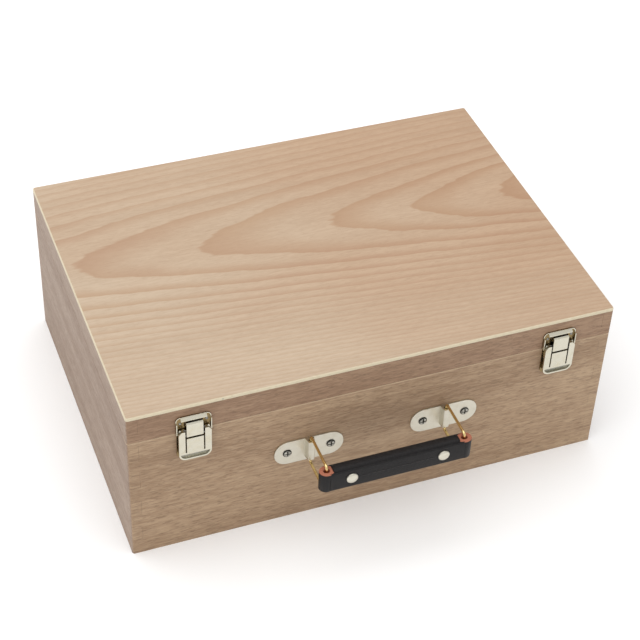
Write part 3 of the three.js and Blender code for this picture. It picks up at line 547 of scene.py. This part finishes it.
def finish_cad_pieces():
    """Gives each carried-over piece its slot's material and its own edge rounding."""
    for part in frame["record"]["subparts"]:
        piece = NODES[part["node"]]
        slot = part["material_slot"]
        piece.data.materials.clear()
        piece.data.materials.append(NODE_MATERIALS.get(part["node"], SLOT_MATERIALS[slot]))
        soften(piece, EDGE_ROUNDING.get(slot, METAL_EDGE))


# ---------------------------------------------------------------- mesh building
def make_piece(name, points, faces, materials, choose=None, crease=38):
    """A mesh object, sharp where its faces turn by more than `crease` degrees.

    choose(face's centre, face's normal) gives the number of a face's material.
    """
    mesh = bpy.data.meshes.new(name)
    mesh.from_pydata([tuple(point) for point in points], [], faces)
    mesh.validate()
    for material in materials:
        mesh.materials.append(material)
    mesh.update()
    if choose:
        for face in mesh.polygons:
            face.material_index = choose(face.center, face.normal)
    mesh.shade_smooth()
    mesh.set_sharp_from_angle(angle=math.radians(crease))
    piece = bpy.data.objects.new(name, mesh)
    bpy.context.scene.collection.objects.link(piece)
    return piece


def grid_faces(rows, columns, closed, start=0):
    """Quads between `rows` rings of `columns` points each. A closed grid joins its last ring to its first."""
    faces = []
    for i in range(rows if closed else rows - 1):
        for j in range(columns):
            a = start + i * columns + j
            b = start + i * columns + (j + 1) % columns
            c = start + ((i + 1) % rows) * columns + (j + 1) % columns
            d = start + ((i + 1) % rows) * columns + j
            faces.append((a, b, c, d))
    return faces


def outward_lathe(profile, centre, segments=40, start=0):
    """Points and faces of a turned shape, whose faces number their points from `start`.

    The profile is (radius, distance out along -Y) pairs from the back to the tip, whose radius is 0.
    """
    points = []
    for radius, reach in profile[:-1]:
        for k in range(segments):
            angle = k / segments * math.tau
            turn = Vector((radius * math.cos(angle), -reach, radius * math.sin(angle)))
            points.append(centre + turn)
    points.append(centre + Vector((0, -profile[-1][1], 0)))
    rows = len(profile) - 1
    faces = grid_faces(rows, segments, False, start)
    tip = start + rows * segments
    last = tip - segments
    faces += [(last + k, last + (k + 1) % segments, tip) for k in range(segments)]
    faces.append(tuple(start + k for k in reversed(range(segments))))
    return points, faces


def planar_sweep(path, section, place):
    """A closed tube. A path entry is (a, b, normal_a, normal_b) and a section point is (out, up).

    place(a, b, up) turns the path's two coordinates and the height above them into a point.
    """
    points = []
    for a, b, normal_a, normal_b in path:
        for out, up in section:
            points.append(place(a + normal_a * out, b + normal_b * out, up))
    return points, grid_faces(len(path), len(section), True)


def corner_arc(a, b, radius_a, radius_b, start, end, steps):
    """Path entries round the corner or ellipse centred on (a, b), whose angles are in degrees."""
    entries = []
    for k in range(steps + 1):
        angle = math.radians(start + (end - start) * k / steps)
        normal = Vector((math.cos(angle) / radius_a, math.sin(angle) / radius_b)).normalized()
        at = (a + radius_a * math.cos(angle), b + radius_b * math.sin(angle))
        entries.append((*at, normal.x, normal.y))
    return entries


def rounded_outline(low_a, high_a, low_b, high_b, radii, steps=6):
    """A closed outline with its own radius at each corner, from the high-high one, anticlockwise."""
    corners = (
        (high_a - radii[0], high_b - radii[0], 0),
        (low_a + radii[1], high_b - radii[1], 90),
        (low_a + radii[2], low_b + radii[2], 180),
        (high_a - radii[3], low_b + radii[3], 270),
    )
    outline = []
    for (a, b, start), radius in zip(corners, radii):
        outline += [entry[:2] for entry in corner_arc(a, b, radius, radius, start, start + 90, steps)]
    return outline


# ---------------------------------------------------------------- the handle
WIRE_BEND = 3.0 * MM  # the middle of the wire's bends
STRAP_THICKNESS = 2.3 * MM
STRAP_ROUNDING = 0.9 * MM
RUN_GAP = 1.5 * MM  # from a bar to the end of a straight run of the strap
LOOP_REACH = 6.2 * MM  # from a bar to the outside of its loop
LOOP_WALL = 3.5 * MM
LOOP_HOLE = 3.2 * MM
LOOP_ROUNDING = 0.4 * MM
CORE_SINK = 1.1 * MM  # how far the core's sides lie behind the strap's face
CORE_RISE = 2.0 * MM  # the core's top above the strap's
CORE_FOOT = 0.35 * MM  # the core's underside above the strap's
CORE_OVERLAP = 1.6 * MM  # how far the core reaches into a loop
CORE_END = 2.2 * MM  # the length of the core's rounded ends
CORE_END_DROP = 1.6 * MM  # how much the ends come down
CORE_END_TAPER = 0.8 * MM  # how much each side of the ends comes in
CORE_CORNERS = (2.6 * MM, 3.4 * MM, 0.8 * MM, 0.8 * MM)
CORE_RIPPLE = 0.10 * MM
CORE_RIPPLE_LENGTHS = (7.3 * MM, 19 * MM)
STITCH_PITCH = 4.1 * MM
STITCH_LENGTH = 2.9 * MM
STITCH_RADIUS = 0.34 * MM
STITCH_PROUD = 0.05 * MM  # a stitch's middle in front of the leather
STITCH_MARGIN = 1.6 * MM  # the bare leather beside a rivet


def ring_wire(side):
    """The polished wire ring, smooth where the CAD ring has facets."""
    low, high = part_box("handle_ring_" + side)
    centre = (low + high) / 2
    radius = (high.x - low.x) / 2
    half_y = (high.y - low.y) / 2 - radius
    half_z = (high.z - low.z) / 2 - radius
    path = []
    for index, (sign_y, sign_z) in enumerate(((1, 1), (-1, 1), (-1, -1), (1, -1))):
        bend = (sign_y * (half_y - WIRE_BEND), sign_z * (half_z - WIRE_BEND))
        path += corner_arc(*bend, WIRE_BEND, WIRE_BEND, index * 90, index * 90 + 90, 10)
    sides = 20
    section = [
        (radius * math.cos(k / sides * math.tau), radius * math.sin(k / sides * math.tau))
        for k in range(sides)
    ]

    def place(y, z, x):
        return centre + Vector((x, y, z))

    points, faces = planar_sweep(path, section, place)
    wire = make_piece("ring_wire_" + side, points, faces, [SLOT_MATERIALS["gold_wire"]])
    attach(wire, "ring_" + side)
    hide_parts("handle_ring_" + side)


def ring_bars():
    """The middle of the handle and the distance of a ring's bars from it, both along X."""
    right_low, right_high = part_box("handle_ring_right")
    left_low, left_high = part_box("handle_ring_left")
    right = (right_low.x + right_high.x) / 2
    left = (left_low.x + left_high.x) / 2
    return (left + right) / 2, (right - left) / 2


def grip_box():
    """The grip's middle, a bar's distance from it, the half thickness, and the foot's and top's height."""
    low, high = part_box("handle_grip")
    middle, bar = ring_bars()
    centre = Vector((middle, (low.y + high.y) / 2, 0))
    return centre, bar, (high.y - low.y) / 2, low.z, high.z


def grip_strap():
    """The strap: a loop round each bar, raw at its edges, and the two runs between the loops."""
    centre, bar, half_thick, foot, top = grip_box()
    points = []
    faces = []

    def place(x, y, z):
        return centre + Vector((x, y, z))

    for sign in (-1, 1):
        wall = rounded_outline(-LOOP_WALL / 2, LOOP_WALL / 2, foot, top, [LOOP_ROUNDING] * 4, 3)
        reach = LOOP_REACH - LOOP_WALL / 2
        deep = half_thick - LOOP_WALL / 2
        path = corner_arc(sign * bar, 0, reach, deep, 0, 360, 40)[:-1]
        more_points, more_faces = planar_sweep(path, wall, place)
        faces += [tuple(len(points) + k for k in face) for face in more_faces]
        points += more_points
    for sign in (-1, 1):
        outer = sign * half_thick
        inner = sign * (half_thick - STRAP_THICKNESS)
        thickness = (min(outer, inner), max(outer, inner))
        run = rounded_outline(*thickness, foot, top, [STRAP_ROUNDING] * 4, 4)
        start = len(points)
        end = bar - RUN_GAP
        stations = (-end, -end / 2, 0, end / 2, end)
        for x in stations:
            points += [place(x, a, b) for a, b in run]
        faces += grid_faces(len(stations), len(run), False, start)
        faces.append(tuple(start + k for k in range(len(run))))
        last = start + (len(stations) - 1) * len(run)
        faces.append(tuple(last + k for k in reversed(range(len(run)))))

    def choose(at, normal):
        from_bar = abs(at.x - centre.x) - bar
        upright = abs(normal.z) < 0.5
        level = abs(normal.z) > 0.35
        in_hole = upright and math.hypot(from_bar, at.y - centre.y) < LOOP_HOLE
        on_edge = level and math.hypot(from_bar / LOOP_REACH, (at.y - centre.y) / half_thick) < 1.0
        return 1 if in_hole or on_edge else 0

    strap = make_piece("grip_strap", points, faces, [LEATHER, CUT_EDGE], choose)
    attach(strap, "grip")
    return strap


def grip_core():
    """The padded core between the two runs of the strap, rounded over at the top and at its ends."""
    centre, bar, half_thick, foot, top = grip_box()
    half = bar - LOOP_REACH + CORE_OVERLAP
    thick = half_thick - CORE_SINK
    stations = 48
    points = []
    for k in range(stations + 1):
        x = half * math.sin((k / stations - 0.5) * math.pi)
        near_end = max(0.0, abs(x) - (half - CORE_END)) / CORE_END
        round_off = 1 - math.sqrt(max(0.0, 1 - near_end**2))
        ripple = CORE_RIPPLE * math.prod(math.sin(x / length) for length in CORE_RIPPLE_LENGTHS)
        crown = top + CORE_RISE + ripple - round_off * CORE_END_DROP
        side = thick - round_off * CORE_END_TAPER
        section = rounded_outline(-side, side, foot + CORE_FOOT, crown, CORE_CORNERS, 8)
        points += [centre + Vector((x, a, b)) for a, b in section]
    columns = len(points) // (stations + 1)
    faces = grid_faces(stations + 1, columns, False)
    faces.append(tuple(range(columns)))
    last = stations * columns
    faces.append(tuple(last + k for k in reversed(range(columns))))
    core = make_piece("grip_core", points, faces, [LEATHER], crease=60)
    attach(core, "grip")


def grip_stitches():
    """A row of sunk stitches along the middle of the strap's face, between the rivets."""
    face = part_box("handle_grip")[0].y
    rivet_low, rivet_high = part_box("grip_rivet_right")
    centre = ring_bars()[0]
    edge = rivet_low.x - centre - STITCH_MARGIN
    z = (rivet_low.z + rivet_high.z) / 2
    count = int(2 * edge / STITCH_PITCH)
    points = []
    faces = []
    sides = 10
    rings = 9
    for k in range(count):
        middle = centre + (k - (count - 1) / 2) * STITCH_PITCH
        start = len(points)
        for i in range(rings):
            along = i / (rings - 1) * 2 - 1
            x = middle + along * STITCH_LENGTH / 2
            bulge = STITCH_RADIUS * math.sqrt(max(0.02, 1 - along**4))
            for j in range(sides):
                angle = j / sides * math.tau
                y = face - STITCH_PROUD + bulge * math.cos(angle)
                points.append(Vector((x, y, z + bulge * math.sin(angle))))
        faces += grid_faces(rings, sides, False, start)
        faces.append(tuple(start + j for j in range(sides)))
        faces.append(tuple(start + (rings - 1) * sides + j for j in reversed(range(sides))))
    stitches = make_piece("grip_stitches", points, faces, [THREAD], crease=60)
    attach(stitches, "grip")


def grip_rivet(side):
    """A smooth domed rivet head on the front with a flat washer head behind it."""
    low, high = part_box("grip_rivet_" + side)
    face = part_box("handle_grip")[0].y
    centre = Vector(((low.x + high.x) / 2, face, (low.z + high.z) / 2))
    radius = (high.x - low.x) / 2
    height = face - low.y
    profile = [(radius * 0.9, -0.3 * MM), (radius * 0.98, 0.0)]
    for k in range(1, 9):
        angle = k / 9 * math.pi / 2
        profile.append((radius * math.cos(angle) ** 0.8, height * (0.18 + 0.82 * math.sin(angle))))
    profile.append((0, height))
    points, faces = outward_lathe(profile, centre)
    back = Vector((centre.x, high.y, centre.z))
    washer = [
        (radius - 1.0 * MM, 0),
        (radius - 0.8 * MM, 0.25 * MM),
        (radius - 0.8 * MM, 1.2 * MM),
        (0, 1.3 * MM),
    ]
    more_points, more_faces = outward_lathe(washer, back, 40, len(points))
    rivet = make_piece("rivet_cap_" + side, points + more_points, faces + more_faces, [NICKEL])
    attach(rivet, "grip")
    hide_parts("grip_rivet_" + side)


def build_handle():
    strap = grip_strap()
    grip_core()
    grip_stitches()
    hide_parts("handle_grip")
    for side in SIDES:
        ring_wire(side)
        grip_rivet(side)


# ---------------------------------------------------------------- small fixings
# Heads are (radius, height of the dome). Places on a face are (sideways from its middle, from its end).
HEAD_SINK = 0.2 * MM  # how far a head's foot goes into its plate
HEAD_WALL = 0.12 * MM  # the straight part below the dome
CATCH_PIN = (1.25 * MM, 0.5 * MM)
CATCH_PIN_PLACE = (10.6 * MM, 6.2 * MM)
BASE_PIN = (1.4 * MM, 0.5 * MM)
BASE_PIN_PLACE = (7.5 * MM, 7.0 * MM)
HINGE_SCREW = (2.6 * MM, 0.8 * MM)
HINGE_SCREW_PLACE = (12.5 * MM, 6.5 * MM)
LEAF_THICKNESS = 1.2 * MM
PANEL_BRAD = (0.55 * MM, 0.05 * MM)
PANEL_BRAD_X = -128.5 * MM
PANEL_BRAD_SINK = 0.1 * MM
PANEL_BRAD_DROP = 2.0 * MM  # below the panel's top
RIM_WIDTH = 0.6 * MM
RIM_RISE = 0.2 * MM
RIM_SINK = 0.1 * MM
RIM_ROUNDING = 0.08 * MM
CATCH_TOP_CORNER = 4.0 * MM
CATCH_FOOT_CORNER = 0.7 * MM


def dome(radius, height):
    """The profile of a low domed head, from its foot to its tip."""
    profile = [(radius, -HEAD_SINK), (radius, HEAD_WALL)]
    steps = 5
    for k in range(1, steps):
        angle = k / steps * math.pi / 2
        profile.append((radius * math.cos(angle), HEAD_WALL + height * math.sin(angle)))
    profile.append((0, HEAD_WALL + height))
    return profile


def domed_heads(name, places, head, body):
    """Several round heads on a face that looks along -Y, as one piece."""
    points = []
    faces = []
    for place in places:
        more_points, more_faces = outward_lathe(dome(*head), place, 20, len(points))
        points += more_points
        faces += more_faces
    heads = make_piece(name, points, faces, [STEEL])
    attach(heads, body)


def catch_rim(side):
    """The rolled edge round a catch plate, in a brighter copy of the plating as a painted highlight."""
    low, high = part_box("latch_catch_" + side)
    face = high.y - PLATE_THICKNESS
    half = RIM_WIDTH / 2
    path = []
    corners = (
        (high.x, high.z, -1, -1, CATCH_TOP_CORNER, 0),
        (low.x, high.z, 1, -1, CATCH_TOP_CORNER, 90),
        (low.x, low.z, 1, 1, CATCH_FOOT_CORNER, 180),
        (high.x, low.z, -1, 1, CATCH_FOOT_CORNER, 270),
    )
    for x, z, sign_x, sign_z, radius, start in corners:
        bend = (x + sign_x * radius, z + sign_z * radius)
        reach = radius - half
        path += corner_arc(*bend, reach, reach, start, start + 90, 8)
    section = rounded_outline(-half, half, -RIM_SINK, RIM_RISE, [RIM_ROUNDING] * 4, 2)

    def place(x, z, out):
        return Vector((x, face - out, z))

    points, faces = planar_sweep(path, section, place)
    rim = make_piece("catch_rim_" + side, points, faces, [RIM_PLATE_HIGHLIGHT])
    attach(rim, "lid")


def latch_fixings():
    """The rim of each catch plate, two pins in the plate and two in the latch's base."""
    for side in SIDES:
        catch_rim(side)
        low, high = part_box("latch_catch_" + side)
        middle = (low.x + high.x) / 2
        face = high.y - PLATE_THICKNESS
        sideways, down = CATCH_PIN_PLACE
        spots = [Vector((middle + sign * sideways, face, high.z - down)) for sign in (-1, 1)]
        domed_heads("catch_pins_" + side, spots, CATCH_PIN, "lid")
        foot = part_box("latch_base_" + side)[0].z
        sideways, up = BASE_PIN_PLACE
        spots = [Vector((middle + sign * sideways, face, foot + up)) for sign in (-1, 1)]
        domed_heads("base_pins_" + side, spots, BASE_PIN, "base")


def hinge_screws():
    """Round screw heads on the hinge leaves, which face +Y."""
    sideways, inward = HINGE_SCREW_PLACE
    for body, leaf in (("base", "hinge_base_leaf_"), ("lid", "hinge_lid_leaf_")):
        for side in SIDES:
            low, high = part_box(leaf + side)
            middle = (low.x + high.x) / 2
            outer = low.z + inward if body == "base" else high.z - inward
            points = []
            faces = []
            for sign in (-1, 1):
                start = len(points)
                foot = Vector((0, 0, 0))
                more_points, more_faces = outward_lathe(dome(*HINGE_SCREW), foot, 24, start)
                spot = Vector((middle + sign * sideways, low.y + LEAF_THICKNESS, outer))
                points += [spot + Vector((-p.x, -p.y, p.z)) for p in more_points]
                faces += more_faces
            heads = make_piece("hinge_screws_" + body + "_" + side, points, faces, [STEEL])
            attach(heads, body)


def panel_brad():
    """The small sunk nail in the lid panel's front edge."""
    low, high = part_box("lid_top_panel")
    spot = Vector((PANEL_BRAD_X, low.y + PANEL_BRAD_SINK, high.z - PANEL_BRAD_DROP))
    domed_heads("panel_brad", [spot], PANEL_BRAD, "lid")


# ---------------------------------------------------------------- the studio
def build_floor():
    points = [(x * FLOOR_HALF, y * FLOOR_HALF, 0) for x, y in ((-1, -1), (1, -1), (1, 1), (-1, 1))]
    floor = make_piece("studio_floor", points, [(0, 1, 2, 3)], [painted_floor()])
    floor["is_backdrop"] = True


def build_light():
    world = bpy.data.worlds.new("studio_room")
    world.use_nodes = True
    background = world.node_tree.nodes["Background"]
    background.inputs["Color"].default_value = (1, 1, 1, 1)
    background.inputs["Strength"].default_value = ROOM_LIGHT
    bpy.context.scene.world = world
    lamp = bpy.data.lights.new("softbox", "AREA")
    lamp.energy = SOFTBOX_POWER
    lamp.size = SOFTBOX_SIZE
    softbox = bpy.data.objects.new("softbox", lamp)
    softbox.location = SOFTBOX_PLACE
    softbox.rotation_euler = (SOFTBOX_AIM - SOFTBOX_PLACE).to_track_quat("-Z", "Y").to_euler()
    bpy.context.scene.collection.objects.link(softbox)


def build_camera():
    flat = math.cos(ELEVATION)
    back = Vector((math.sin(AZIMUTH) * flat, -math.cos(AZIMUTH) * flat, math.sin(ELEVATION)))
    data = bpy.data.cameras.new("camera")
    data.lens = LENS
    data.sensor_width = SENSOR
    camera = bpy.data.objects.new("camera", data)
    camera.location = TARGET + back * DISTANCE
    camera.rotation_euler = back.to_track_quat("Z", "Y").to_euler()
    camera.rotation_euler.rotate_axis("Z", ROLL)
    bpy.context.scene.collection.objects.link(camera)
    bpy.context.scene.camera = camera
    bpy.context.scene.view_settings.view_transform = "Standard"


build_camera()
build_light()
build_floor()
finish_cad_pieces()
build_handle()
latch_fixings()
hinge_screws()
panel_brad()

sizes = {"cad": cad_box, "visual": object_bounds()}
{key: [list(corner) for corner in box] for key, box in sizes.items()}
